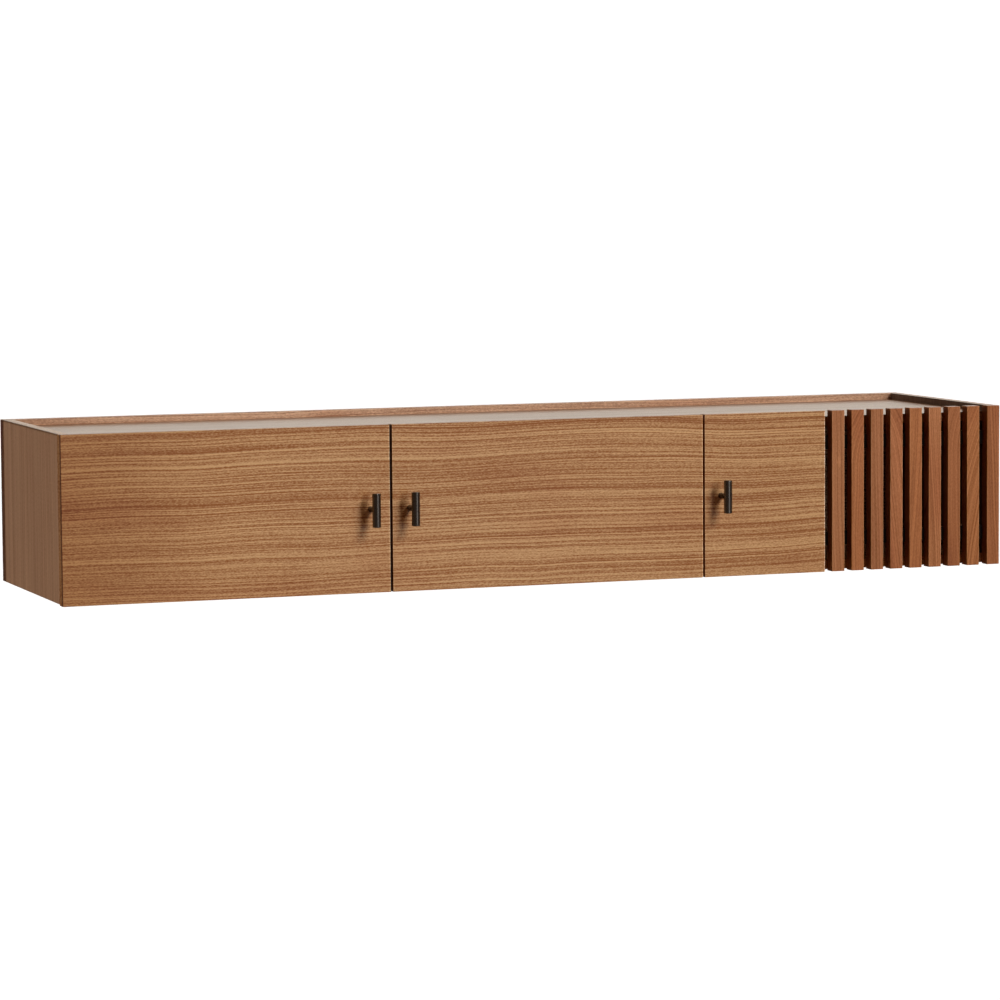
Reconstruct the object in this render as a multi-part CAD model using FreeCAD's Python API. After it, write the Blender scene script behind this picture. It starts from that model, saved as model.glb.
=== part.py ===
"""Floating media console: a wall-hung walnut cabinet with two flat doors and one half-slatted door.

X runs along the console, Y from the room (-Y) to the wall (Y = 0), Z up. The origin is on the wall,
at the middle of the row of screw holes in the wall cleat. All sizes are in millimetres.
"""
import FreeCAD
import Part
import os
from FreeCAD import Vector

os.makedirs("parts", exist_ok=True)

# Overall sizes
width = 1800.0
depth = 450.0
door_height = 298.0
rim_above_screws = 75.0

# Carcase
side_thickness = 20.0
top_thickness = 17.0
bottom_thickness = 17.0
back_thickness = 22.0
partition_thickness = 18.0
top_recess = 12.0
door_drop = 2.0
arris = 0.8
cable_hole_radius = 30.0
cable_hole_below_rim = 190.0
joint_clearance = 0.05
overcut = 1.0

# Doors
door_thickness = 22.0
door_back_gap = 1.5
door_gap = 3.5
slat_count = 9
slat_width = 25.0
slat_gap = 14.5
end_slat_gap = 16.75
strap_thickness = 3.0
strap_height = 25.0
strap_lap = 60.0
strap_fit = 0.1
strap_screw_radius = 2.0
strap_screw_length = 13.0
strap_screw_inset = 15.0
strap_head_radius = 4.0
strap_head_height = 2.0
bumper_radius = 4.0
bumper_height = 1.2
bumper_inset = 20.0

# Handles
bar_radius = 7.5
bar_length = 60.0
post_radius = 5.5
bar_standoff = 32.0
post_seat = 3.0
handle_inset = 32.5
left_handle_inset = 37.0
handle_screw_radius = 2.0
handle_screw_grip = 14.0
handle_head_radius = 4.5
handle_head_height = 2.4

# Hinges
hinge_inset = 60.0
cup_radius = 17.5
cup_depth = 12.0
cup_wall = 1.6
cup_centre = 22.5
cup_fit = 0.05
flange_height = 58.0
flange_width = 34.0
flange_thickness = 1.0
flange_corner = 8.0
wing_thickness = 1.5
wing_rivet_inset = 4.0
wing_access_play = 0.8
plate_length = 36.0
plate_height = 48.0
plate_thickness = 3.0
plate_setback = 28.0
plate_corner = 8.0
arm_width = 12.0
arm_height = 18.0
arm_wall = 1.5
arm_nose_in = 23.0
arm_nose_length = 16.0
arm_nose_gap = 2.0
arm_tail = 64.0
nose_pin_radius = 1.5
nose_pin_back = 4.0
hinge_screw_radius = 1.75
hinge_screw_length = 13.0
hinge_screw_spacing = 32.0
cup_screw_spacing = 48.0
cup_screw_length = 11.0

# Wall cleat
cleat_thickness = 3.0
cleat_setback = 60.0
cleat_plate = 32.0
cleat_hook = 12.0
cleat_upper = 35.0
wall_hole_radius = 3.0
wall_hole_count = 4
wall_hole_pitch = 400.0
channel_play = 3.0
cleat_screw_radius = 2.0
cleat_screw_length = 45.0
cleat_screw_count = 8
cleat_screw_end = 30.0
cleat_head_radius = 4.0
cleat_head_height = 2.0

# Panel joints
dowel_radius = 4.0
dowel_length = 30.0
dowel_in_side = 10.0
dowel_edge = 45.0
partition_dowel_edge = 80.0
dowel_skin = 5.0
cam_radius = 7.5
cam_height = 12.0
cam_inset = 34.0
cam_edge = 100.0
cam_bolt_radius = 3.0
cam_bolt_in_side = 11.0
back_screw_radius = 2.0
back_screw_length = 50.0
back_screw_head_radius = 4.0
back_screw_head_height = 2.5
back_screw_margin = 30.0
back_screw_end = 90.0
grommet_flange = 4.0
grommet_lip = 1.5
grommet_wall = 2.0
grommet_fit = 0.1

# Places worked out from the sizes
half = width / 2
rim_top = rim_above_screws
door_bottom = rim_top - door_height
door_middle = rim_top - door_height / 2
carcase_bottom = door_bottom + door_drop
door_face = -depth
door_back = door_face + door_thickness
carcase_front = door_back + door_back_gap
back_front = -back_thickness
inner_half = half - side_thickness
top_surface = rim_top - top_recess
top_underside = top_surface - top_thickness
bottom_surface = carcase_bottom + bottom_thickness
module = width / 3
cleat_length = width - 2 * cleat_setback
slat_pitch = slat_width + slat_gap
first_slat = half - slat_width * 2 - end_slat_gap - slat_pitch * (slat_count - 2)
flat_end = first_slat - slat_gap
hinge_heights = (door_bottom + hinge_inset, rim_top - hinge_inset)
partition_places = (-module / 2, module / 2)
bay_middles = (-module, 0.0, module)
arm_nose_v = door_thickness + door_back_gap + arm_nose_gap
channel_bottom = -cleat_plate / 2 - channel_play


def save(name, shape):
    """Write one sub-part as a STEP file."""
    shape.exportStep(f"parts/{name}.step")


def box(x0, x1, y0, y1, z0, z1):
    """A box between two corners given in any order along X."""
    left, right = min(x0, x1), max(x0, x1)
    return Part.makeBox(right - left, y1 - y0, z1 - z0, Vector(left, y0, z0))


def rod(x, y, z, radius, length, direction):
    return Part.makeCylinder(radius, length, Vector(x, y, z), Vector(*direction))


def eased(shape, radius=arris):
    """Take the sharpness off every edge of a block."""
    return shape.makeFillet(radius, shape.Edges)


def cut_all(shape, tools):
    """Cut a list of solids out of a shape."""
    return shape.cut(Part.makeCompound(tools)) if tools else shape


def spread(first, last, count):
    """Evenly spaced places from first to last."""
    return [first + (last - first) * i / (count - 1) for i in range(count)]


def countersunk(x, y, z, radius, length, head_radius, head_height, direction):
    """A countersunk screw whose head starts at the point and whose shank runs along direction."""
    head = Part.makeCone(head_radius, radius, head_height, Vector(x, y, z), Vector(*direction))
    return head.fuse(rod(x, y, z, radius, length, direction)).removeSplitter()


# ---------------------------------------------------------------- doors


class Door:
    """One door's span, its hinged edge, and the way from that edge to the handle."""

    def __init__(self, name, left, right, hinged_left, overlay, inset):
        self.name = name
        self.left = left
        self.right = right
        self.edge = left if hinged_left else right
        self.free = right if hinged_left else left
        self.inward = 1.0 if hinged_left else -1.0
        self.overlay = overlay
        self.inset = inset

    def at(self, u):
        """X at a distance u from the hinged edge."""
        return self.edge + self.inward * u

    def handle_x(self):
        return self.free - self.inward * self.inset


def doors():
    end_overlay = side_thickness
    mid_overlay = (partition_thickness - door_gap) / 2
    gap = door_gap / 2
    return (
        Door("left", -half, -module / 2 - gap, True, end_overlay, left_handle_inset),
        Door("centre", -module / 2 + gap, module / 2 - gap, False, mid_overlay, handle_inset),
        Door("right", module / 2 + gap, half, False, end_overlay, handle_inset),
    )


def handle_bore(door):
    """The hole for the handle's screw, right through the door."""
    radius = handle_screw_radius + joint_clearance
    return rod(door.handle_x(), door_face, door_middle, radius, door_thickness, (0, 1, 0))


def cup_bores(door):
    """Blind holes for the two hinge cups, from the door's back face."""
    depth_cut = cup_depth + cup_fit
    start = door_back - depth_cut
    radius = cup_radius + cup_fit
    return [rod(door.at(cup_centre), start, z, radius, depth_cut, (0, 1, 0)) for z in hinge_heights]


def cup_screw_places(door):
    """Middle of each cup screw: one above and one below each cup."""
    reach = cup_screw_spacing / 2
    return [(door.at(cup_centre), z + side * reach) for z in hinge_heights for side in (-1, 1)]


def pilot_holes(places, length, radius):
    """Blind holes for screws driven into the door's back face."""
    start = door_back - length - joint_clearance
    wide = radius + joint_clearance
    return [rod(x, start, z, wide, length + joint_clearance, (0, 1, 0)) for x, z in places]


def flat_door(door):
    """A flat door panel with its handle hole and its hinge holes."""
    panel = eased(box(door.left, door.right, door_face, door_back, door_bottom, rim_top))
    length = cup_screw_length - flange_thickness
    pilots = pilot_holes(cup_screw_places(door), length, hinge_screw_radius)
    return cut_all(panel, [handle_bore(door)] + cup_bores(door) + pilots)


def slat_lefts():
    """Left edge of each slat; the last slat is flush with the end of the console."""
    lefts = [first_slat + i * slat_pitch for i in range(slat_count - 1)]
    return lefts + [half - slat_width]


def strap_screw_places():
    """X and Z of every strap screw: one in each slat and two in the flat panel."""
    xs = [left + slat_width / 2 for left in slat_lefts()]
    xs += [flat_end - strap_screw_inset, flat_end - strap_lap + strap_screw_inset]
    return [(x, z) for x in xs for z in hinge_heights]


def strap_span():
    """Start and end of the straps along X."""
    return flat_end - strap_lap, half - arris


def strap_notches():
    """The grooves in the backs of the slats and flat panel that take the straps."""
    start, end = strap_span()
    tall = strap_height / 2 + strap_fit
    y0 = door_back - strap_thickness
    return [
        box(start - strap_fit, half + overcut, y0, door_back + overcut, z - tall, z + tall)
        for z in hinge_heights
    ]


def strap_pilots():
    """Blind holes for the strap screws, from the bottom of the grooves."""
    length = strap_screw_length - strap_thickness
    floor = door_back - strap_thickness
    wide = strap_screw_radius + joint_clearance
    start = floor - length - joint_clearance
    tall = length + joint_clearance
    return [rod(x, start, z, wide, tall, (0, 1, 0)) for x, z in strap_screw_places()]


def half_flat_door(door):
    """The flat part of the right door."""
    panel = eased(box(door.left, flat_end, door_face, door_back, door_bottom, rim_top))
    return cut_all(panel, [handle_bore(door)] + strap_notches() + strap_pilots())


def slats():
    """Nine upright slats as deep as the door."""
    tools = strap_notches() + strap_pilots()
    return [
        cut_all(eased(box(x, x + slat_width, door_face, door_back, door_bottom, rim_top)), tools)
        for x in slat_lefts()
    ]


def strap_screw_tools(grow):
    """Countersunk strap screws, or the holes for them when grown."""
    return [
        countersunk(
            x, door_back, z, strap_screw_radius + grow, strap_screw_length,
            strap_head_radius + grow, strap_head_height, (0, -1, 0),
        )
        for x, z in strap_screw_places()
    ]


def wing_span():
    """Start and end of the hinge wings along X: the width of the last slat but one."""
    start = slat_lefts()[-2]
    return start, start + slat_width


def wing_rivet_places():
    """X and Z of the two rivets of each hinge wing on the straps."""
    start, end = wing_span()
    return [(x, z) for x in (start + wing_rivet_inset, end - wing_rivet_inset) for z in hinge_heights]


def strap(z):
    """One steel strap with its screw holes and the holes for the hinge wing's rivets."""
    start, end = strap_span()
    tall = strap_height / 2
    bar = box(start, end, door_back - strap_thickness, door_back, z - tall, z + tall)
    wide = hinge_screw_radius + joint_clearance
    y0 = door_back - strap_thickness
    rivets = [rod(x, y0, zz, wide, strap_thickness, (0, 1, 0)) for x, zz in wing_rivet_places()]
    return cut_all(bar, strap_screw_tools(joint_clearance) + rivets)


def bumpers(door):
    """Two soft pads at the free edge, facing the front edges of the top and bottom panels."""
    x = door.free - door.inward * bumper_inset
    heights = ((top_surface + top_underside) / 2, (carcase_bottom + bottom_surface) / 2)
    return [rod(x, door_back, z, bumper_radius, bumper_height, (0, 1, 0)) for z in heights]


# ---------------------------------------------------------------- handles


def handle_bar(door):
    """The upright bar, bored at the back for its post."""
    y = door_face - bar_standoff
    z0 = door_middle - bar_length / 2
    bar = rod(door.handle_x(), y, z0, bar_radius, bar_length, (0, 0, 1))
    bar = bar.makeFillet(arris, [e for e in bar.Edges if len(e.Vertexes) == 1])
    seat = rod(
        door.handle_x(), y + bar_radius - post_seat, door_middle,
        post_radius + joint_clearance, post_seat + overcut, (0, 1, 0),
    )
    return bar.cut(seat)


def handle_post(door):
    """The round post between bar and door, threaded for the screw."""
    start = door_face - bar_standoff + bar_radius - post_seat
    length = door_face - start
    post = rod(door.handle_x(), start, door_middle, post_radius, length, (0, 1, 0))
    grip = handle_screw_grip + joint_clearance
    radius = handle_screw_radius + joint_clearance
    return post.cut(rod(door.handle_x(), door_face - grip, door_middle, radius, grip, (0, 1, 0)))


def handle_screw(door):
    """A pan-head screw from inside the cabinet, through the door, into the post."""
    x = door.handle_x()
    length = door_thickness + handle_screw_grip
    shank = rod(x, door_face - handle_screw_grip, door_middle, handle_screw_radius, length, (0, 1, 0))
    head = rod(x, door_back, door_middle, handle_head_radius, handle_head_height, (0, 1, 0))
    head = head.makeFillet(arris, [e for e in head.Edges if len(e.Vertexes) == 1][:1])
    slot = box(
        x - handle_head_radius, x + handle_head_radius, door_back + handle_head_height / 2,
        door_back + handle_head_height + overcut, door_middle - arris / 2, door_middle + arris / 2,
    )
    return shank.fuse(head).removeSplitter().cut(slot)


# ---------------------------------------------------------------- hinges


def hinge_cup(door, z):
    """A pressed steel cup with a flat flange on the door's back face."""
    x = door.at(cup_centre)
    inner = cup_radius - cup_wall
    cup = rod(x, door_back - cup_depth, z, cup_radius, cup_depth, (0, 1, 0))
    flange = box(
        x - flange_width / 2, x + flange_width / 2, door_back, door_back + flange_thickness,
        z - flange_height / 2, z + flange_height / 2,
    )
    corners = [e for e in flange.Edges if abs(e.tangentAt(0).y) > 0.9]
    flange = flange.makeFillet(flange_corner, corners)
    hollow = rod(
        x, door_back - cup_depth + cup_wall, z, inner, cup_depth + flange_thickness, (0, 1, 0)
    )
    reach = cup_screw_spacing / 2
    wide = hinge_screw_radius + joint_clearance
    holes = [
        rod(x, door_back, z + side * reach, wide, flange_thickness, (0, 1, 0)) for side in (-1, 1)
    ]
    return cut_all(cup.fuse(flange), [hollow] + holes)


def cup_screws(door):
    """Screws that hold the cups' flanges."""
    start = door_back + flange_thickness - cup_screw_length
    return [
        rod(x, start, z, hinge_screw_radius, cup_screw_length, (0, 1, 0))
        for x, z in cup_screw_places(door)
    ]


def hinge_wing(z):
    """A flat steel wing riveted to a strap, with a hole that clears the strap screw behind it."""
    start, end = wing_span()
    tall = strap_height / 2
    wing = box(start, end, door_back, door_back + wing_thickness, z - tall, z + tall)
    wide = hinge_screw_radius + joint_clearance
    holes = [rod(x, door_back, zz, wide, wing_thickness, (0, 1, 0)) for x, zz in wing_rivet_places()]
    access = strap_head_radius + wing_access_play
    holes.append(rod((start + end) / 2, door_back, z, access, wing_thickness, (0, 1, 0)))
    return cut_all(wing, holes)


def wing_rivets():
    """Flush rivets through each wing and its strap."""
    start = door_back - strap_thickness
    length = strap_thickness + wing_thickness
    return [rod(x, start, z, hinge_screw_radius, length, (0, 1, 0)) for x, z in wing_rivet_places()]


def across(door, points, z0, z1):
    """A prism from an outline in (distance from the hinged edge, distance behind the door face)."""
    corners = [Vector(door.at(u), door_face + v, z0) for u, v in points]
    face = Part.Face(Part.makePolygon(corners + corners[:1]))
    return face.extrude(Vector(0, 0, z1 - z0))


def arm_outline(base, wall):
    """Outline of the cranked arm, drawn in by a wall at its nose and back."""
    crank = arm_nose_v + arm_nose_length
    tail = arm_nose_v + arm_tail
    back = base + arm_width - wall
    outer = arm_nose_in + arm_width - wall
    return [
        (base, tail), (back, tail), (back, crank + arm_width), (outer, crank),
        (outer, arm_nose_v + wall), (arm_nose_in, arm_nose_v + wall),
        (arm_nose_in, crank), (base, crank + arm_width),
    ]


def hinge_arm(door, z):
    """A U-section arm, cranked from its mounting plate to the nose behind the cup."""
    base = door.overlay + plate_thickness
    outside = across(door, arm_outline(base, 0.0), z - arm_height / 2, z + arm_height / 2)
    inset = arm_height / 2 - arm_wall
    inside = across(door, arm_outline(base, arm_wall), z - inset, z + inset)
    pin_u = arm_nose_in + arm_width / 2
    pin_v = door_face + arm_nose_v + nose_pin_back
    pin = rod(
        door.at(pin_u), pin_v, z - arm_height / 2, nose_pin_radius, arm_height, (0, 0, 1)
    )
    return outside.cut(inside).fuse(pin).removeSplitter()


def plate_screw_places():
    """Y and Z of the two screws of each mounting plate."""
    y = carcase_front + plate_setback + plate_length / 2
    reach = hinge_screw_spacing / 2
    return [(y, z + side * reach) for z in hinge_heights for side in (-1, 1)]


def plate_rods(door, start, length, grow=0.0):
    """Rods at the plates' screws, from a distance inside the door's edge towards the panel."""
    x = door.at(start)
    radius = hinge_screw_radius + grow
    return [rod(x, y, z, radius, length, (-door.inward, 0, 0)) for y, z in plate_screw_places()]


def mounting_plate(door, z):
    """The steel plate that carries a hinge arm."""
    y0 = carcase_front + plate_setback
    tall = plate_height / 2
    plate = box(
        door.at(door.overlay), door.at(door.overlay + plate_thickness), y0, y0 + plate_length,
        z - tall, z + tall,
    )
    corners = [e for e in plate.Edges if abs(e.tangentAt(0).x) > 0.9]
    plate = plate.makeFillet(plate_corner, corners)
    return cut_all(plate, plate_screw_holes(door))


def plate_screws(door):
    """Screws from the plates into the side panel or partition."""
    return plate_rods(door, door.overlay + plate_thickness, hinge_screw_length)


def plate_screw_holes(door):
    """The screws' holes, through the plates and blind in the panel that carries them."""
    start = door.overlay + plate_thickness
    return plate_rods(door, start, hinge_screw_length + joint_clearance, joint_clearance)


# ---------------------------------------------------------------- carcase


def joint_ys(edge):
    """Two places along the carcase's depth, as far in from its front as from the back board."""
    return carcase_front + edge, back_front - edge


def dowel_places():
    """Start point and direction of each dowel, from inside its side panel or partition end."""
    levels = ((top_surface + top_underside) / 2, (carcase_bottom + bottom_surface) / 2)
    return [
        (side * (inner_half + dowel_in_side), y, z, (-side, 0, 0))
        for side in (-1, 1) for y in joint_ys(dowel_edge) for z in levels
    ]


def partition_dowel_places():
    """Upright dowels between the partitions and the top and bottom panels."""
    ends = ((top_surface - dowel_skin, -1), (carcase_bottom + dowel_skin, 1))
    return [
        (x, y, z, (0, 0, way))
        for x in partition_places for y in joint_ys(partition_dowel_edge) for z, way in ends
    ]


def dowels(grow=0.0):
    """Wooden dowels, or the holes for them when grown."""
    made = []
    for x, y, z, way in dowel_places() + partition_dowel_places():
        back = Vector(*way).multiply(-grow)
        made.append(rod(x + back.x, y, z + back.z, dowel_radius + grow, dowel_length + 2 * grow, way))
    return made


def cam_places():
    """X, Y and underside Z of each cam, with the side that it pulls to."""
    return [
        (side * (inner_half - cam_inset), y, z, side)
        for side in (-1, 1) for y in joint_ys(cam_edge) for z in (top_underside, carcase_bottom)
    ]


def cams(grow=0.0):
    """Round cam housings let into the undersides of the top and bottom panels."""
    return [rod(x, y, z, cam_radius + grow, cam_height + grow, (0, 0, 1)) for x, y, z, side in cam_places()]


def cam_bolt_rods(reach, grow=0.0):
    """Rods from inside each side panel that run a given reach into the top or bottom panel."""
    start = inner_half + cam_bolt_in_side + grow
    length = reach + cam_bolt_in_side + grow
    return [
        rod(side * start, y, z + cam_height / 2, cam_bolt_radius + grow, length, (-side, 0, 0))
        for x, y, z, side in cam_places()
    ]


def cam_bolts():
    """Steel bolts from each side panel up to its cam."""
    return cam_bolt_rods(cam_inset - cam_radius - joint_clearance)


def cam_bolt_holes():
    """The bolts' holes, which open into the cams' bores."""
    return cam_bolt_rods(cam_inset, joint_clearance)


def back_screw_places():
    """X and Z of each screw from the back board into the ends, the partitions and the bottom panel."""
    side_x = half - side_thickness / 2
    low, high = bottom_surface + back_screw_margin, channel_bottom - back_screw_margin
    places = [(side * side_x, z) for side in (-1, 1) for z in (low, high)]
    places += [(x, z) for x in partition_places for z in (low, high)]
    xs = spread(-inner_half + back_screw_end, inner_half - back_screw_end, 4)
    return places + [(x, (carcase_bottom + bottom_surface) / 2) for x in xs]


def back_screws(grow=0.0):
    """Countersunk screws from behind, or their holes when grown."""
    return [
        countersunk(
            x, 0.0, z, back_screw_radius + grow, back_screw_length + grow,
            back_screw_head_radius + grow, back_screw_head_height, (0, -1, 0),
        )
        for x, z in back_screw_places()
    ]


def cable_holes():
    """Round cable holes through the back board, one in each bay."""
    z = rim_top - cable_hole_below_rim
    return [rod(x, back_front, z, cable_hole_radius, back_thickness, (0, 1, 0)) for x in bay_middles]


def grommets():
    """Plastic rings that line the cable holes from inside the bays."""
    z = rim_top - cable_hole_below_rim
    outer = cable_hole_radius - grommet_fit
    rings = []
    for x in bay_middles:
        tube = rod(x, back_front, z, outer, back_thickness, (0, 1, 0))
        lip = rod(x, back_front - grommet_lip, z, outer + grommet_flange, grommet_lip, (0, 1, 0))
        start = back_front - grommet_lip
        bore = rod(x, start, z, outer - grommet_wall, back_thickness + grommet_lip, (0, 1, 0))
        rings.append(tube.fuse(lip).cut(bore).removeSplitter())
    return rings


def channel():
    """The groove in the back board's rear face that hides the cleats."""
    reach = cleat_length / 2 + channel_play
    top = cleat_plate / 2 + cleat_hook + cleat_upper + channel_play
    return box(-reach, reach, -2 * cleat_thickness, 1.0, channel_bottom, top)


def side_panel(side, hinged_door):
    """An end panel, bored for dowels, bolts, screws and hinge plates."""
    panel = eased(
        box(side * inner_half, side * half, carcase_front, back_front, carcase_bottom, rim_top)
    )
    tools = dowels(joint_clearance) + cam_bolt_holes()
    tools += back_screws(joint_clearance) + plate_screw_holes(hinged_door)
    return cut_all(panel, tools)


def shelf_panel(z0, z1):
    """The top or the bottom panel, between the end panels."""
    panel = box(-inner_half, inner_half, carcase_front, back_front, z0, z1)
    tools = dowels(joint_clearance) + cams(joint_clearance)
    tools += cam_bolt_holes() + back_screws(joint_clearance)
    return cut_all(panel, tools + cleat_screws(joint_clearance))


def partition(x, hinged_door=None):
    """An upright panel between two bays."""
    reach = partition_thickness / 2
    panel = box(x - reach, x + reach, carcase_front, back_front, bottom_surface, top_underside)
    tools = dowels(joint_clearance) + back_screws(joint_clearance)
    tools += plate_screw_holes(hinged_door) if hinged_door else []
    return cut_all(panel, tools)


def cleat_screw_xs():
    reach = cleat_length / 2 - cleat_screw_end
    return spread(-reach, reach, cleat_screw_count)


def cleat_screws(grow=0.0):
    """Countersunk screws through the cabinet's cleat and the back board into the top panel."""
    z = (top_surface + top_underside) / 2
    return [
        countersunk(
            x, -cleat_thickness, z, cleat_screw_radius + grow, cleat_screw_length + grow,
            cleat_head_radius + grow, cleat_head_height, (0, -1, 0),
        )
        for x in cleat_screw_xs()
    ]


def back_panel():
    """The full-width back board with its cleat channel, cable holes and screw holes."""
    board = eased(box(-half, half, back_front, 0.0, carcase_bottom, rim_top))
    tools = [channel()] + cable_holes() + back_screws(joint_clearance) + cleat_screws(joint_clearance)
    return cut_all(board, tools)


def cleat(points):
    """An extruded cleat from its outline in (Y, Z)."""
    corners = [Vector(-cleat_length / 2, y, z) for y, z in points]
    face = Part.Face(Part.makePolygon(corners + corners[:1]))
    return face.extrude(Vector(cleat_length, 0, 0))


def wall_cleat():
    """The cleat screwed to the wall; its hook points up, one thickness clear of the wall."""
    t = cleat_thickness
    top = cleat_plate / 2
    body = cleat([
        (0, -top), (0, top), (-t, top), (-t, top + cleat_hook), (-2 * t, top + cleat_hook),
        (-2 * t, top - t), (-t, top - t), (-t, -top),
    ])
    reach = wall_hole_pitch * (wall_hole_count - 1) / 2
    xs = spread(-reach, reach, wall_hole_count)
    return cut_all(body, [rod(x, -t, 0.0, wall_hole_radius, t, (0, 1, 0)) for x in xs])


def cabinet_cleat():
    """The cleat on the cabinet; its hook points down behind the wall cleat's."""
    t = cleat_thickness
    low = cleat_plate / 2
    step = low + cleat_hook
    body = cleat([
        (0, low), (0, step + t), (-t, step + t), (-t, step + cleat_upper),
        (-2 * t, step + cleat_upper), (-2 * t, step), (-t, step), (-t, low),
    ])
    return cut_all(body, cleat_screws(joint_clearance))


# ---------------------------------------------------------------- build


def build_carcase(left, centre, right):
    save("side_panel_left", side_panel(-1, left))
    save("side_panel_right", side_panel(1, right))
    save("top_panel", shelf_panel(top_underside, top_surface))
    save("bottom_panel", shelf_panel(carcase_bottom, bottom_surface))
    save("partition_left", partition(partition_places[0]))
    save("partition_right", partition(partition_places[1], centre))
    save("back_panel", back_panel())
    save("cable_grommets", Part.makeCompound(grommets()))
    save("panel_dowels", Part.makeCompound(dowels()))
    save("cam_locks", Part.makeCompound(cams()))
    save("cam_bolts", Part.makeCompound(cam_bolts()))
    save("back_screws", Part.makeCompound(back_screws()))
    save("wall_cleat", wall_cleat())
    save("cabinet_cleat", cabinet_cleat())
    save("cleat_screws", Part.makeCompound(cleat_screws()))


def build_door_hardware(door):
    save(f"handle_bar_{door.name}", handle_bar(door))
    save(f"handle_post_{door.name}", handle_post(door))
    save(f"handle_screw_{door.name}", handle_screw(door))
    save(f"bumpers_{door.name}", Part.makeCompound(bumpers(door)))
    save(f"hinge_arms_{door.name}", Part.makeCompound([hinge_arm(door, z) for z in hinge_heights]))
    plates = [mounting_plate(door, z) for z in hinge_heights]
    save(f"hinge_plates_{door.name}", Part.makeCompound(plates))
    save(f"hinge_plate_screws_{door.name}", Part.makeCompound(plate_screws(door)))


def build_flat_door(door):
    save(f"door_panel_{door.name}", flat_door(door))
    save(f"hinge_cups_{door.name}", Part.makeCompound([hinge_cup(door, z) for z in hinge_heights]))
    save(f"hinge_cup_screws_{door.name}", Part.makeCompound(cup_screws(door)))


def build_slatted_door(door):
    save("door_panel_right", half_flat_door(door))
    for number, slat in enumerate(slats(), 1):
        save(f"slat_{number}", slat)
    save("slat_strap_lower", strap(hinge_heights[0]))
    save("slat_strap_upper", strap(hinge_heights[1]))
    save("strap_screws", Part.makeCompound(strap_screw_tools(0.0)))
    save("hinge_wings_right", Part.makeCompound([hinge_wing(z) for z in hinge_heights]))
    save("hinge_wing_rivets", Part.makeCompound(wing_rivets()))


left_door, centre_door, right_door = doors()
build_carcase(left_door, centre_door, right_door)
for one in (left_door, centre_door, right_door):
    build_door_hardware(one)
build_flat_door(left_door)
build_flat_door(centre_door)
build_slatted_door(right_door)
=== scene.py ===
"""Looks of the floating media console: camera, studio light and wood, metal and rubber finishes.

X runs along the console, Y from the room to the wall, Z up, in metres. The CAD nodes carry the shapes.
"""
import math

import bpy
from mathutils import Matrix, Vector

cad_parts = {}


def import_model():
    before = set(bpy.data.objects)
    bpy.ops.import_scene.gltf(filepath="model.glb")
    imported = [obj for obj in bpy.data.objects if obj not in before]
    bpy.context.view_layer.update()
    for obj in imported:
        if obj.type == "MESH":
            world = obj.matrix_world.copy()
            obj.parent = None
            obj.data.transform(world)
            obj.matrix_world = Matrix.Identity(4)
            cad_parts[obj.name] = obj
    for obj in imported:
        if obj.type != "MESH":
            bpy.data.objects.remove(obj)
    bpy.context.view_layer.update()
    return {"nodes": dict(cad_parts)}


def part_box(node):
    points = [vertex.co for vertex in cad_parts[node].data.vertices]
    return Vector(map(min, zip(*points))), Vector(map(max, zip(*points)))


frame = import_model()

nodes = frame["nodes"]
MM = 0.001


# ---------------------------------------------------------------- node helpers


class Tree:
    """Short ways to add and link the nodes of a node tree."""

    def __init__(self, tree):
        self.tree = tree

    def node(self, kind, inputs=(), **settings):
        made = self.tree.nodes.new("ShaderNode" + kind)
        for key, value in settings.items():
            setattr(made, key, value)
        for key, value in dict(inputs).items():
            self.put(made.inputs[key], value)
        return made

    def put(self, socket, value):
        if isinstance(value, bpy.types.NodeSocket):
            self.tree.links.new(value, socket)
        else:
            socket.default_value = value

    def math(self, operation, a, b=0.0):
        return self.node("Math", {0: a, 1: b}, operation=operation).outputs[0]

    def between(self, share, a, b):
        """A number between a and b."""
        return self.node("Mix", {0: share, 2: a, 3: b}).outputs[0]

    def mix(self, share, a, b, blend="MIX"):
        """A colour between a and b."""
        made = self.node("Mix", {0: share, 6: a, 7: b}, data_type="RGBA", blend_type=blend)
        return made.outputs[2]

    def vector(self, x, y, z):
        return self.node("CombineXYZ", {0: x, 1: y, 2: z}).outputs[0]

    def noise(self, vector, detail, roughness, scale=1.0):
        inputs = {"Vector": vector, "Scale": scale, "Detail": detail, "Roughness": roughness}
        return self.node("TexNoise", inputs).outputs[0]

    def remap(self, value, low, high, to_low=0.0, to_high=1.0, smooth=False):
        kind = "SMOOTHSTEP" if smooth else "LINEAR"
        inputs = {0: value, 1: low, 2: high, 3: to_low, 4: to_high}
        return self.node("MapRange", inputs, interpolation_type=kind).outputs[0]

    def ramp(self, value, stops):
        made = self.node("ValToRGB", {0: value})
        ramp = made.color_ramp
        while len(ramp.elements) < len(stops):
            ramp.elements.new(0.5)
        for element, (place, level) in zip(ramp.elements, stops):
            element.position = place
            element.color = (level, level, level, 1)
        return made.outputs[0]

    def point(self, offset=(0, 0, 0), turn=(0, 0, 0)):
        """A place on the object in its own frame, shifted and turned, as three numbers."""
        place = self.node("TexCoord").outputs["Object"]
        inputs = {"Vector": place, "Location": offset, "Rotation": turn}
        moved = self.node("Mapping", inputs).outputs[0]
        return self.node("SeparateXYZ", {0: moved}).outputs


class Finish(Tree):
    """The node tree of a new material."""

    def __init__(self, name):
        self.material = bpy.data.materials.new(name)
        self.material.use_nodes = True
        super().__init__(self.material.node_tree)
        self.shader = self.tree.nodes["Principled BSDF"]

    def tinted(self, colour, mask, tint):
        """The colour, multiplied by a tint where the mask is 1."""
        return self.mix(mask, colour, self.mix(1.0, colour, (*tint, 1.0), "MULTIPLY"))

    def bump(self, height, strength, distance):
        made = self.node("Bump", {"Strength": strength, "Distance": distance, "Height": height})
        self.put(self.shader.inputs["Normal"], made.outputs[0])


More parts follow.
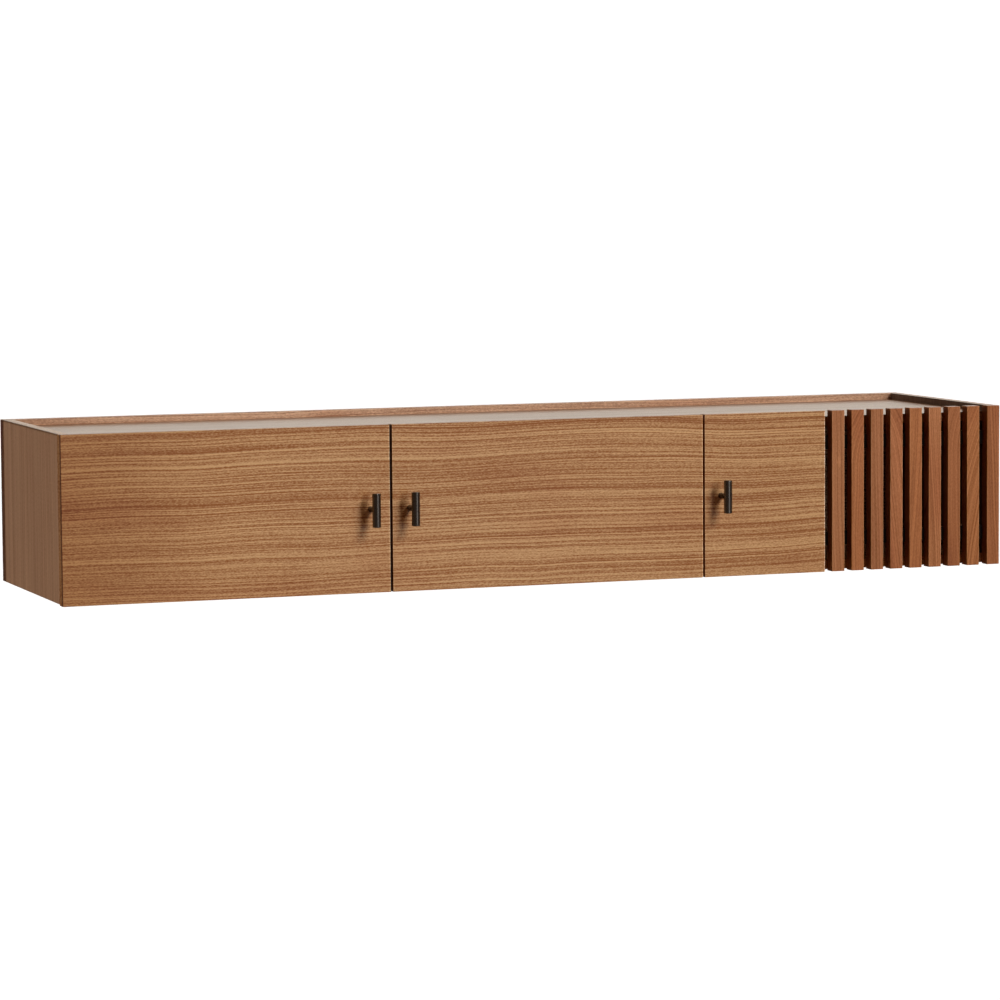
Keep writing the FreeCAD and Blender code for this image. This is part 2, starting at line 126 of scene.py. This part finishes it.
def rgb(red, green, blue):
    """Linear colour from 0-255 screen values."""
    def linear(level):
        level /= 255
        return level / 12.92 if level <= 0.04045 else ((level + 0.055) / 1.055) ** 2.4
    return linear(red), linear(green), linear(blue), 1.0


# ---------------------------------------------------------------- limits of shades


SHARP = 0.3 * MM    # half the width of a crisp border between two tints


def past(axis, place, soft=SHARP):
    """A shade's limit: it covers what lies at higher coordinates than this place."""
    return axis, place, True, soft


def before(axis, place, soft=SHARP):
    """A shade's limit: it covers what lies at lower coordinates than this place."""
    return axis, place, False, soft


def shaded(finish, colour, shades):
    """The colour, with a tint inside each shade's limits, or everywhere if it has none."""
    place = finish.point()
    for limits, tint in shades:
        mask = 1.0
        for axis, border, beyond, soft in limits:
            start, end = (0.0, 1.0) if beyond else (1.0, 0.0)
            along = place["XYZ".index(axis)]
            inside = finish.remap(along, border - soft, border + soft, start, end, smooth=True)
            mask = finish.math("MULTIPLY", mask, inside)
        colour = finish.tinted(colour, mask, tint)
    return colour


# ---------------------------------------------------------------- wood


SEED_SHIFT = (1.37, 0.73, 0.91)     # metres that one unit of seed moves the grain
SHORT_STRAY = 3.5 * MM              # how far the grain strays within a hand's breadth
RING_DRIFT = 3.2                    # how many rings the spacing of the growth lines drifts by
MEAN_TONE = 0.58                    # share of the light tone where all noise is zero
DARKEST = 0.15                      # share at which the wood is as dark as its dark tone
REDDISH = (0.8, 0.62, 0.5)
LACQUER_IOR = 1.5
PORE_DEPTH = 0.15 * MM
PORE_STRENGTH = 0.1

# Darkness of a growth line from one ring to the next: slow to rise and quick to end
LINE_PROFILE = [(0.0, 0.05), (0.04, 0.0), (0.83, 0.0), (0.92, 0.25), (0.96, 1.0), (1.0, 0.05)]


class Board:
    """Grain of one board: u runs along it, v across the growth lines and w through the board."""

    def __init__(self, finish, along, across, seed, tilt):
        x, y, z = finish.point([seed * shift for shift in SEED_SHIFT], (0, tilt, 0))
        self.finish = finish
        self.u, self.v, self.w = {"X": (x, z, y), "Z": (z, x, y)}[along]
        if across == "Y":
            self.v, self.w = self.w, self.v

    def noise(self, along, across, detail=2.0, roughness=0.5, v=None):
        """Noise around zero, with its cycles per metre along and across the grain."""
        m = self.finish.math
        place = self.finish.vector(
            m("MULTIPLY", self.u, along),
            m("MULTIPLY", self.v if v is None else v, across),
            m("MULTIPLY", self.w, across),
        )
        return m("SUBTRACT", self.finish.noise(place, detail, roughness), 0.5)

    def strayed(self, wander, bend):
        """The place across the growth lines, astray as in real wood and bent above a height."""
        m = self.finish.math
        far = m("MULTIPLY", self.noise(2.4, 2.5, 1.0), wander)
        near = m("MULTIPLY", self.noise(6.0, 12.0), SHORT_STRAY)
        v = m("ADD", m("ADD", self.v, far), near)
        if bend:
            height, strength = bend
            above = m("MAXIMUM", m("SUBTRACT", self.finish.point()[2], height), 0.0)
            v = m("SUBTRACT", v, m("MULTIPLY", m("MULTIPLY", above, above), strength))
        return v

    def growth_lines(self, v, ring):
        """Dark lines a ring apart, closer or wider in places, and faint in others."""
        m = self.finish.math
        drift = m("MULTIPLY", self.noise(0.4, 15.0, v=v), RING_DRIFT)
        phase = m("FRACT", m("ADD", m("DIVIDE", v, ring), drift))
        line = self.finish.ramp(phase, LINE_PROFILE)
        loudness = self.noise(1.2, 45.0, v=v)
        strong = self.finish.remap(loudness, -0.12, 0.14, to_low=0.1, to_high=0.95, smooth=True)
        return m("MULTIPLY", line, strong)

    def tone(self, v, ring, lines, fine):
        """Share of the wood's light tone, from growth lines, fibres, pores and slow clouds."""
        m = self.finish.math
        layers = (
            (self.noise(0.5, 330.0, 3.0, 0.8, v), 3.7 * fine),
            (self.noise(4.0, 520.0, 2.0, 0.7, v), 0.8 * fine),
            (self.noise(1.6, 150.0, v=v), 0.28 * fine),
            (self.noise(0.9, 24.0, v=v), 0.13),
            (self.noise(8.0, 14.0, 3.0, 0.55), 0.2),
            (self.noise(240.0, 700.0, 1.0), 1.5 * fine),
            (self.growth_lines(v, ring), -lines),
        )
        share = MEAN_TONE
        for layer, strength in layers:
            share = m("ADD", share, m("MULTIPLY", layer, strength))
        return self.finish.remap(share, DARKEST, 1.0)

    def spotted(self, colour, x, z, wide, tall, tint):
        """The colour with a ragged oval spot, such as a knot."""
        m = self.finish.math
        place = self.finish.point()
        off_x = m("DIVIDE", m("SUBTRACT", place[0], x), wide)
        off_z = m("DIVIDE", m("SUBTRACT", place[2], z), tall)
        off = m("ADD", m("MULTIPLY", off_x, off_x), m("MULTIPLY", off_z, off_z))
        ragged = m("ADD", off, m("MULTIPLY", self.noise(30.0, 60.0), 3.0))
        mask = self.finish.remap(ragged, 0.2, 1.2, to_low=1.0, to_high=0.0, smooth=True)
        return self.finish.tinted(colour, mask, tint)


def wood(name, along, tones, seed, tilt=0.0, ring=17 * MM, wander=0.03, lines=0.46, fine=1.0,
         across=None, shades=(), ends=None, blush=0.6, roughness=0.36, bend=None, spots=()):
    """Satin-lacquered walnut whose grain runs along X or Z of the part.

    tones are the wood's darkest and lightest colour. ring is the spacing of the growth lines and
    lines their depth. wander is how far the grain strays, and fine scales the fibres. across is "Y"
    where the growth lines follow one another along Y. shades are (limits, tint) pairs, and ends
    tints the faces that look along X. blush is the strength of the reddish places. bend is the
    height above which the grain curves, and how much. spots are (x, z, wide, tall, tint).
    """
    finish = Finish(name)
    board = Board(finish, along, across, seed, tilt)
    share = board.tone(board.strayed(wander, bend), ring, lines, fine)
    dark, light = tones
    colour = finish.mix(share, dark, light)
    patch = finish.remap(board.noise(3.2, 9.0), 0.0, 0.2, to_high=blush, smooth=True)
    colour = finish.tinted(colour, patch, REDDISH)
    if ends:
        normal = finish.node("TexCoord").outputs["Normal"]
        facing = finish.node("SeparateXYZ", {0: normal}).outputs[0]
        sideways = finish.remap(finish.math("ABSOLUTE", facing), 0.75, 0.95)
        colour = finish.tinted(colour, sideways, ends)
    if shades:
        colour = shaded(finish, colour, shades)
    for spot in spots:
        colour = board.spotted(colour, *spot)
    shine = finish.remap(share, 0.1, 0.9, roughness + 0.1, roughness - 0.02)
    finish.put(finish.shader.inputs["Base Color"], colour)
    finish.put(finish.shader.inputs["Roughness"], shine)
    finish.put(finish.shader.inputs["IOR"], LACQUER_IOR)
    finish.bump(share, PORE_STRENGTH, PORE_DEPTH)
    return finish.material


# ---------------------------------------------------------------- other finishes


SHADE_SWING = 0.12      # how far the colour of a hard finish strays
SHINE_SWING = 0.05      # how far its roughness strays
TEXTURE_DEPTH = 0.05 * MM


def hard(name, colour, roughness, metallic=1.0, grain=(900.0, 900.0, 900.0), strength=0.1):
    """Metal, plastic or rubber with a fine texture: its cycles per metre, and its strength."""
    finish = Finish(name)
    scaled = (finish.math("MULTIPLY", part, scale) for part, scale in zip(finish.point(), grain))
    fine = finish.noise(finish.vector(*scaled), 3.0, 0.6)
    broad = finish.noise(finish.node("TexCoord").outputs["Object"], 3.0, 0.5, 40.0)
    level = finish.remap(fine, 0.3, 0.7, 1.0 - SHADE_SWING, 1.0 + SHADE_SWING)
    grey = finish.node("CombineColor", {0: level, 1: level, 2: level}).outputs[0]
    shine = finish.remap(broad, 0.3, 0.7, roughness - SHINE_SWING, roughness + SHINE_SWING)
    finish.put(finish.shader.inputs["Base Color"], finish.mix(1.0, colour, grey, "MULTIPLY"))
    finish.put(finish.shader.inputs["Roughness"], shine)
    finish.put(finish.shader.inputs["Metallic"], metallic)
    finish.bump(fine, strength, TEXTURE_DEPTH)
    return finish.material


def dress(material, *names):
    for name in names:
        slots = nodes[name].data.materials
        slots.clear()
        slots.append(material)


# ---------------------------------------------------------------- the console's finishes


# Darkest and lightest tone of each wood
VENEER = (rgb(137, 78, 26), rgb(200, 158, 109))
RAIL = (rgb(138, 95, 66), rgb(210, 170, 138))
CARCASE = (rgb(153, 115, 88), rgb(196, 157, 124))
SOLID = (rgb(119, 62, 0), rgb(184, 120, 76))
TOP = (rgb(139, 92, 52), rgb(177, 135, 98))
BOTTOM = (rgb(140, 92, 52), rgb(190, 140, 98))
ESPRESSO = (rgb(55, 33, 21), rgb(86, 54, 36))
BEECH = (rgb(185, 142, 101), rgb(212, 172, 128))

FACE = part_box("door_panel_left")[0].y       # plane of the door faces
ON_FACE = before("Y", FACE + 0.6 * MM)
BEHIND_ARRIS = past("Y", FACE + 1.4 * MM)
DARK_ARRIS = (0.5, 0.44, 0.38)


def front(name, shades, ends=None):
    """Veneer of a door front. All doors share one seed, so the grain runs on from door to door."""
    return wood(name, "X", VENEER, seed=0.3, blush=0.42, shades=shades, ends=ends)


def dress_left_door():
    low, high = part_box("door_panel_left")
    at_end = before("X", low.x + 0.8 * MM)
    corner_depth = FACE + 6 * MM
    # Darker towards the door's left end
    left_end_darker = ([before("X", low.x + 0.16, soft=0.16)], (0.76, 0.66, 0.56))
    corner = ([at_end, before("Y", corner_depth)], (0.34, 0.24, 0.2))
    end_grain = ([at_end, past("Y", corner_depth)], (1.15, 1.2, 1.25))
    # Painted highlight: a light line on the face along the door's right edge
    highlight_line = ([past("X", high.x - 3.25 * MM), ON_FACE], (1.4, 1.75, 2.2))
    # Painted shade: a near-black strip on the face beside the gap between doors
    gap_shade_line = ([past("X", high.x - 1.65 * MM), ON_FACE], (0.02, 0.004, 0.002))
    shades = [left_end_darker, corner, end_grain, highlight_line, gap_shade_line]
    dress(front("walnut_front_left", shades), "door_panel_left")


def dress_centre_door():
    low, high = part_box("door_panel_centre")
    at_end = before("X", low.x + 0.15 * MM)
    gap_depth = before("Y", FACE + 13 * MM, soft=3 * MM)
    # Painted shade: the door's left edge face is darkened as deep as the gap shows it
    gap_edge_shade = ([at_end, BEHIND_ARRIS, gap_depth], (0.1, 0.06, 0.04))
    # Painted highlights: light lines on the face along the door's left and right edges
    left_highlight = ([before("X", low.x + 1.65 * MM), ON_FACE], (1.25, 1.4, 1.7))
    right_highlight = ([past("X", high.x - 1.65 * MM), ON_FACE], (1.7, 2.0, 2.6))
    shades = [gap_edge_shade, left_highlight, right_highlight]
    dress(front("walnut_front_centre", shades), "door_panel_centre")


def dress_right_door():
    low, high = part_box("door_panel_right")
    # Painted highlight: a light line on the face along the flat part's right edge
    edge_highlight = ([past("X", high.x - 1.45 * MM), ON_FACE], (1.8, 2.4, 4.0))
    # Painted highlight: a light line on the face along the door's left edge
    highlight_line = ([before("X", low.x + 2.05 * MM), ON_FACE], (1.2, 1.3, 1.5))
    # Painted shade: a dark strip on the face beside the gap between doors
    gap_shade_line = ([before("X", low.x + 0.65 * MM), ON_FACE], (0.12, 0.06, 0.03))
    # Painted shade: the door's left edge face, behind the arris, is dimmed to a dark red
    shade_in_gap = ([before("X", low.x + 0.35 * MM), BEHIND_ARRIS], (1.0, 0.72, 0.6))
    shades = [edge_highlight, highlight_line, gap_shade_line, shade_in_gap]
    # The ends tint darkens the door's end faces: painted shade for the gaps beside them
    dress(front("walnut_front", shades, ends=(0.62, 0.52, 0.42)), "door_panel_right")


def upright(name, seed, shades):
    """Walnut of an end panel, with its grain upright and calm."""
    return wood(name, "Z", CARCASE, seed, across="Y", ring=11 * MM, wander=0.02, lines=0.2, fine=0.8,
                blush=0.15, shades=shades)


def dress_left_side():
    low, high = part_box("side_panel_left")
    outer_edge = low.x + 3 * MM
    upper_arris = ([past("Z", high.z - 3.2 * MM), before("X", outer_edge)], DARK_ARRIS)
    # Painted sheen: the rim's top face is lightened and greyed
    rim_highlight = ([past("Z", high.z - 0.5 * MM), past("X", outer_edge)], (1.25, 1.25, 1.1))
    lower_arris = ([before("Z", low.z + 1.1 * MM)], DARK_ARRIS)
    rear_edge = ([past("Y", high.y - 4.2 * MM)], (0.32, 0.2, 0.1))
    shades = [upper_arris, rim_highlight, lower_arris, rear_edge]
    dress(upright("walnut_side", 2.1, shades), "side_panel_left")


def dress_right_side():
    inner_face = ([before("X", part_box("side_panel_right")[0].x + 0.5 * MM)], (0.17, 0.15, 0.15))
    dress(upright("walnut_side_right", 4.4, [inner_face]), "side_panel_right")


def dress_back():
    far_end = ([before("X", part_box("back_panel")[0].x + 0.12, soft=0.12)], (0.8, 0.76, 0.74))
    back = wood("walnut_back", "X", RAIL, seed=2.9, ring=20 * MM, fine=0.9, ends=(0.24, 0.13, 0.06),
                shades=[far_end])
    dress(back, "back_panel")


def dress_shelves():
    """The top and bottom panels, whose front edges have their own tint; on the top panel it is painted
    shade.
    """
    front_edge = [before("Y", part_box("top_panel")[0].y + 0.7 * MM)]
    # The top's front edge tint darkens it: painted shade behind the doors
    top = wood("walnut_top", "X", TOP, seed=6.1, across="Y", lines=0.3, fine=0.6, roughness=0.3,
               shades=[(front_edge, (0.64, 0.52, 0.3))])
    bottom = wood("walnut_bottom", "X", BOTTOM, seed=3.3, across="Y", lines=0.3,
                  shades=[(front_edge, (1.05, 0.98, 0.75))])
    dress(top, "top_panel")
    dress(bottom, "bottom_panel")


def dress_partitions():
    finish = wood("espresso_partition", "Z", ESPRESSO, seed=3.9, across="Y", lines=0.3)
    dress(finish, "partition_left", "partition_right")


# Each slat's own board: tilt in degrees, ring in mm, depth of the lines, bend as height and
# strength, and tint
SLAT_BOARDS = (
    (2, 22, 0.25, None, (1.01, 1.07, 1.15)),
    (0, 12, 0.85, (-0.03, 3.2), (1.06, 1.03, 0.98)),
    (3, 8, 0.7, None, (1.02, 1.07, 1.22)),
    (6, 11, 0.6, (0.0, -3.0), (1.06, 1.05, 1.12)),
    (-3, 26, 0.25, None, (1.03, 1.0, 0.92)),
    (3, 9, 0.7, None, (1.12, 1.19, 1.32)),
    (2, 13, 0.7, (-0.01, 3.0), (1.02, 1.0, 1.03)),
    (-10, 18, 0.5, (-0.1, 0.8), (1.14, 1.17, 1.15)),
    (3, 15, 0.4, None, (0.93, 0.89, 0.88)),
)
# Darkens each slat's side faces: painted shade between the slats
SLAT_SIDE_SHADE = (0.7, 0.62, 0.36)
SLAT_FOOT = ([before("Z", -0.1, soft=0.15)], (0.93, 0.91, 0.87))
SLAT_HIGHLIGHT_WIDTH = 1 * MM      # width of the painted highlight along a slat's front edges
KNOTTY_SLAT = 1
KNOT = (13.75 * MM, -0.02, 5 * MM, 12 * MM, (1.2, 1.25, 1.3))   # x is from the slat's left side


def dress_slats():
    for number, (tilt, ring, lines, bend, tint) in enumerate(SLAT_BOARDS, 1):
        name = f"slat_{number}"
        low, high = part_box(name)
        all_over = ([], tint)
        # Painted highlights: light lines on the face along each slat's front edges
        left_highlight = ([before("X", low.x + SLAT_HIGHLIGHT_WIDTH), ON_FACE], (1.3, 1.55, 1.9))
        right_highlight = ([past("X", high.x - SLAT_HIGHLIGHT_WIDTH), ON_FACE], (1.5, 2.0, 2.8))
        spots = [(low.x + KNOT[0], *KNOT[1:])] if number == KNOTTY_SLAT else []
        finish = wood(f"walnut_{name}", "Z", SOLID, seed=0.83 * number + 5.0, tilt=math.radians(tilt),
                      ring=ring * MM, lines=lines, fine=0.48, ends=SLAT_SIDE_SHADE, bend=bend,
                      spots=spots, shades=[all_over, SLAT_FOOT, left_highlight, right_highlight])
        dress(finish, name)


def dress_hardware():
    black = hard("blackened_steel", (0.13, 0.12, 0.11, 1.0), roughness=0.27, strength=0.08)
    matt = hard("matt_black_strap", (0.006, 0.005, 0.004, 1.0), roughness=0.7, metallic=0.0,
                strength=0.2)
    steel = hard("brushed_nickel_steel", rgb(190, 188, 184), roughness=0.3,
                 grain=(200.0, 200.0, 2600.0))
    zinc = hard("cast_zinc", rgb(150, 150, 152), roughness=0.45, strength=0.3)
    aluminium = hard("mill_aluminium", rgb(200, 201, 204), roughness=0.35,
                     grain=(12.0, 2200.0, 2200.0))
    plastic = hard("black_plastic", rgb(34, 34, 34), roughness=0.5, metallic=0.0, strength=0.2)
    rubber = hard("clear_rubber", rgb(170, 166, 156), roughness=0.6, metallic=0.0)
    for side in ("left", "centre", "right"):
        dress(black, f"handle_bar_{side}", f"handle_post_{side}")
        dress(steel, f"handle_screw_{side}", f"hinge_arms_{side}", f"hinge_plates_{side}")
        dress(steel, f"hinge_plate_screws_{side}")
        dress(rubber, f"bumpers_{side}")
    for side in ("left", "centre"):
        dress(steel, f"hinge_cups_{side}", f"hinge_cup_screws_{side}")
    dress(steel, "cam_bolts", "back_screws", "cleat_screws", "strap_screws")
    dress(matt, "slat_strap_lower", "slat_strap_upper", "hinge_wings_right", "hinge_wing_rivets")
    dress(zinc, "cam_locks")
    dress(aluminium, "wall_cleat", "cabinet_cleat")
    dress(plastic, "cable_grommets")
    dress(wood("beech_dowel", "Z", BEECH, seed=8.0), "panel_dowels")


# ---------------------------------------------------------------- studio


# The photograph's camera, worked out from the edges of the console
CAMERA_PLACE = (-2.5891, -7.2833, 0.5644)
CAMERA_RIGHT = (0.939165, -0.343361, -0.007112)
CAMERA_UP = (0.036330, 0.078738, 0.996233)
CAMERA_BACK = (-0.341507, -0.935885, 0.086424)
FOCAL_LENGTH = 146.87
SENSOR_WIDTH = 36.0
FAR_CLIP = 200.0

# Soft box: only reflections show it, above all the bright line down each bar handle
BOX_PLACE = (1.4, -5.0, -0.4)
BOX_WIDTH = 1.0
BOX_HEIGHT = 1.4
BOX_POWER = 10.0

# World
AMBIENT = 0.1
WARM = (1.0, 0.5, 0.24, 1.0)            # tint of the ambient light
SHINE = (1.0, 0.98, 0.9, 1.0)           # tint of what shiny surfaces see
BRIGHT_SIDE = (0.566, 0.824, 0.0)       # towards the back right, where the sunk top reflects white
BRIGHT_EDGES = (0.70, 0.92)             # cosines off that side between which the brightness rises
BRIGHT_LEVELS = (0.06, 1.45)            # brightness outside and inside those edges
CAMERA_WHITE = 1.15

# Floor
FLOOR_REACH = 60.0
FLOOR_HEIGHT = -2.3
FLOOR_COLOUR = (0.8, 0.8, 0.8, 1.0)
FLOOR_BOUNCE = (0.33, 0.2, 0.12, 1.0)   # its colour for the warm light that it sends up
FLOOR_GLOW = 0.7                        # lifts it to white, for the camera alone
FLOOR_ROUGHNESS = 0.9


def link(thing):
    bpy.context.scene.collection.objects.link(thing)
    return thing


def make_camera():
    camera = link(bpy.data.objects.new("camera", bpy.data.cameras.new("camera")))
    turn = Matrix((CAMERA_RIGHT, CAMERA_UP, CAMERA_BACK)).transposed().to_4x4()
    camera.matrix_world = Matrix.Translation(CAMERA_PLACE) @ turn
    camera.data.lens = FOCAL_LENGTH
    camera.data.sensor_width = SENSOR_WIDTH
    camera.data.clip_end = FAR_CLIP
    bpy.context.scene.camera = camera


def make_lamp(name, kind, toward):
    """A lamp that shines on the console from the direction of a point."""
    lamp = link(bpy.data.objects.new(name, bpy.data.lights.new(name, kind)))
    lamp.rotation_mode = "QUATERNION"
    lamp.rotation_quaternion = Vector(toward).to_track_quat("Z", "Y")
    return lamp


def make_sun(name, toward, strength, spread, shiny):
    """A far lamp with its spread in degrees; shiny surfaces may show it or not."""
    lamp = make_lamp(name, "SUN", toward)
    lamp.data.energy = strength
    lamp.data.angle = math.radians(spread)
    lamp.visible_glossy = shiny


def make_soft_box():
    """An upright soft box, a little below the console's height, for the bar handles' shine."""
    lamp = make_lamp("soft_box", "AREA", BOX_PLACE)
    lamp.location = BOX_PLACE
    lamp.data.shape = "RECTANGLE"
    lamp.data.size = BOX_WIDTH
    lamp.data.size_y = BOX_HEIGHT
    lamp.data.energy = BOX_POWER
    lamp.visible_diffuse = False
    lamp.visible_camera = False


def make_world():
    """White for the camera, bright at the back right for shiny surfaces, warm and low for the rest."""
    world = bpy.data.worlds.new("studio")
    world.use_nodes = True
    world.node_tree.nodes.clear()
    t = Tree(world.node_tree)
    path = t.node("LightPath").outputs
    place = t.node("TexCoord").outputs["Generated"]
    side = t.node("VectorMath", {0: place, 1: BRIGHT_SIDE}, operation="DOT_PRODUCT").outputs["Value"]
    shine = t.remap(side, *BRIGHT_EDGES, *BRIGHT_LEVELS, smooth=True)
    level = t.between(path["Is Glossy Ray"], AMBIENT, shine)
    level = t.between(path["Is Transmission Ray"], level, 1.0)
    level = t.between(path["Is Camera Ray"], level, CAMERA_WHITE)
    tint = t.mix(path["Is Diffuse Ray"], SHINE, WARM)
    background = t.node("Background", {0: tint, 1: level})
    t.node("OutputWorld", {0: background.outputs[0]})
    bpy.context.scene.world = world


def make_floor():
    """A pale floor far under the hung console; it keeps the console's shadow."""
    mesh = bpy.data.meshes.new("floor")
    signs = ((-1, -1), (1, -1), (1, 1), (-1, 1))
    corners = [(x * FLOOR_REACH, y * FLOOR_REACH, FLOOR_HEIGHT) for x, y in signs]
    mesh.from_pydata(corners, [], [(0, 1, 2, 3)])
    floor = link(bpy.data.objects.new("floor", mesh))
    t = Finish("pale_floor")
    seen = t.node("LightPath").outputs["Is Camera Ray"]
    t.put(t.shader.inputs["Base Color"], t.mix(seen, FLOOR_BOUNCE, FLOOR_COLOUR))
    t.put(t.shader.inputs["Roughness"], FLOOR_ROUGHNESS)
    strength = t.math("MULTIPLY", seen, FLOOR_GLOW)
    glow = t.node("Emission", {"Color": (1, 1, 1, 1), "Strength": strength})
    both = t.node("AddShader", {0: t.shader.outputs[0], 1: glow.outputs[0]})
    t.put(t.tree.nodes["Material Output"].inputs[0], both.outputs[0])
    mesh.materials.append(t.material)


make_camera()
make_world()
make_floor()
make_sun("low_key", toward=(0.33, -1.0, 0.18), strength=0.8, spread=13.0, shiny=False)
make_sun("high_key", toward=(0.54, -1.0, 0.70), strength=1.91, spread=20.0, shiny=True)
make_soft_box()
make_sun("left_fill", toward=(-0.99, -0.04, 0.09), strength=1.25, spread=25.0, shiny=False)
bpy.context.scene.view_settings.view_transform = "Standard"

dress_left_door()
dress_centre_door()
dress_right_door()
dress_left_side()
dress_right_side()
dress_back()
dress_shelves()
dress_partitions()
dress_slats()
dress_hardware()
